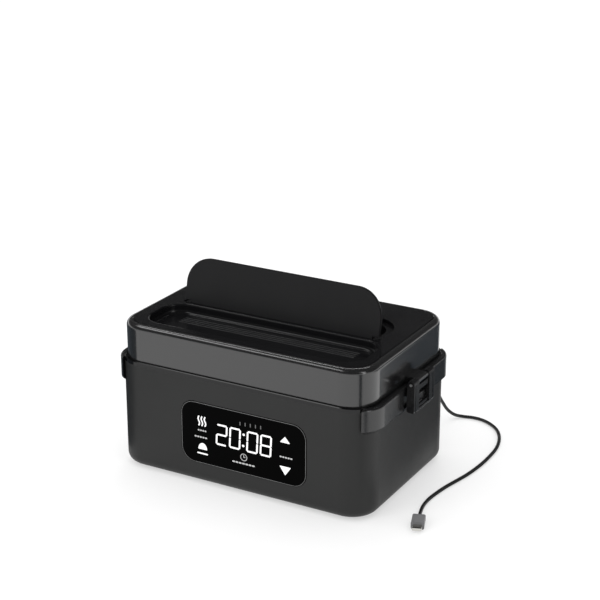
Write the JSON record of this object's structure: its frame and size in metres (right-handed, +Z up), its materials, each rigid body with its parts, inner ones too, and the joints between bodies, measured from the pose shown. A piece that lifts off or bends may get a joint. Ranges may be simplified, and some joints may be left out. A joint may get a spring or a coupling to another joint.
{
  "type": "electric lunch box",
  "caption": "Rectangular heated lunch box: battery base with a touch display, lift-out steel food container with inner lid, and a lift-off lid with side latches, phone tray and fold-up flap.",
  "frame": {"origin": "on the surface it stands on, under the middle of the base", "axes": "+Z up; -Y is the front with the display; +X to the right seen from the front"},
  "size_m": [0.2959, 0.2358, 0.1709],
  "materials": {
    "housing_plastic": "fine satin, charcoal",
    "deck_gloss": "polished black",
    "collar_plastic": "satin black",
    "window_glass": "polished smoked acrylic",
    "module_plastic": "white light box",
    "circuit_board": "green solder mask",
    "well_coating": "black non-stick coating",
    "screw_steel": "zinc plated",
    "heater_aluminium": "satin",
    "brass_fitting": "satin",
    "fuse_ceramic": "matte",
    "felt": "matte felt",
    "cover_plastic": "fine texture",
    "rubber": "matte",
    "cell_wrap": "shrink sleeve",
    "nickel": "nickel plated, satin",
    "component_plastic": "moulded",
    "socket_tongue": "smooth",
    "container_steel": "polished stainless steel",
    "inner_lid_plastic": "satin grey",
    "silicone_grey": "satin silicone",
    "silicone_peach": "satin silicone, copper-orange",
    "lid_plastic": "fine satin, charcoal",
    "panel_gloss": "glossy black",
    "liner_plastic": "satin grey",
    "flap_plastic": "satin black",
    "latch_plastic": "satin black",
    "cable_black": "satin",
    "plug_grey": "satin grey"
  },
  "bodies": {
    "base": {"base_housing": "housing_plastic", "deck_frame": "deck_gloss", "end_collar_right": "collar_plastic", "end_collar_left": "collar_plastic", "display_window": "window_glass", "display_module": "module_plastic", "display_board": "circuit_board", "heating_well": "well_coating", "well_gasket": "silicone_grey", "well_screws": "screw_steel", "heater_plate": "heater_aluminium", "temperature_sensor": "brass_fitting", "thermal_fuse": "fuse_ceramic", "insulation_jacket": "felt", "bottom_cover": "cover_plastic", "cover_screws": "screw_steel", "rubber_feet": "rubber", "battery_tray": "cover_plastic", "battery_cells": "cell_wrap", "battery_strips": "nickel", "main_board": "circuit_board", "board_parts": "component_plastic", "usb_socket_shell": "nickel", "usb_socket_tongue": "socket_tongue", "charge_inlet": "nickel", "usb_plug_grip": "cable_black", "usb_plug_shell": "nickel", "usb_lead": "cable_black", "phone_plug_grip": "plug_grey", "phone_plug_tip": "nickel"},
    "food_container": {"food_container": "container_steel"},
    "inner_lid": {"inner_lid_plate": "inner_lid_plastic", "inner_lid_seal": "silicone_grey"},
    "vent_plug": {"vent_plug": "silicone_peach"},
    "lid": {"lid_skirt": "lid_plastic", "lid_top_panel": "panel_gloss", "lid_liner": "liner_plastic", "lid_gasket": "silicone_grey", "lid_screws": "screw_steel", "flap_hinge_pin": "screw_steel", "latch_pin_right": "screw_steel", "latch_pin_left": "screw_steel"},
    "stand_flap": {"stand_flap": "flap_plastic"},
    "latch_right": {"latch_right": "latch_plastic"},
    "latch_left": {"latch_left": "latch_plastic"}
  },
  "joints": [
    {"name": "container_lift", "type": "slide", "parent": "base", "child": "food_container", "axis": [0, 0, 1], "range_m": [0, 0.053]},
    {"name": "inner_lid_lift", "type": "slide", "parent": "food_container", "child": "inner_lid", "axis": [0, 0, 1], "range_m": [0, 0.062]},
    {"name": "vent_plug_pull", "type": "slide", "parent": "inner_lid", "child": "vent_plug", "axis": [0, 0, 1], "range_m": [0, 0.003]},
    {"name": "lid_lift", "type": "slide", "parent": "inner_lid", "child": "lid", "axis": [0, 0, 1], "range_m": [0, 0.054]},
    {"name": "stand_flap_hinge", "type": "hinge", "parent": "lid", "child": "stand_flap", "pos_m": [0, -0.006, 0.1283], "axis": [1, 0, 0], "range_deg": [-79, 0]},
    {"name": "latch_right_hinge", "type": "hinge", "parent": "lid", "child": "latch_right", "pos_m": [0.1288, 0, 0.102], "axis": [0, 1, 0], "range_deg": [-100, 8]},
    {"name": "latch_left_hinge", "type": "hinge", "parent": "lid", "child": "latch_left", "pos_m": [-0.1288, 0, 0.102], "axis": [0, -1, 0], "range_deg": [-100, 8]}
  ]
}
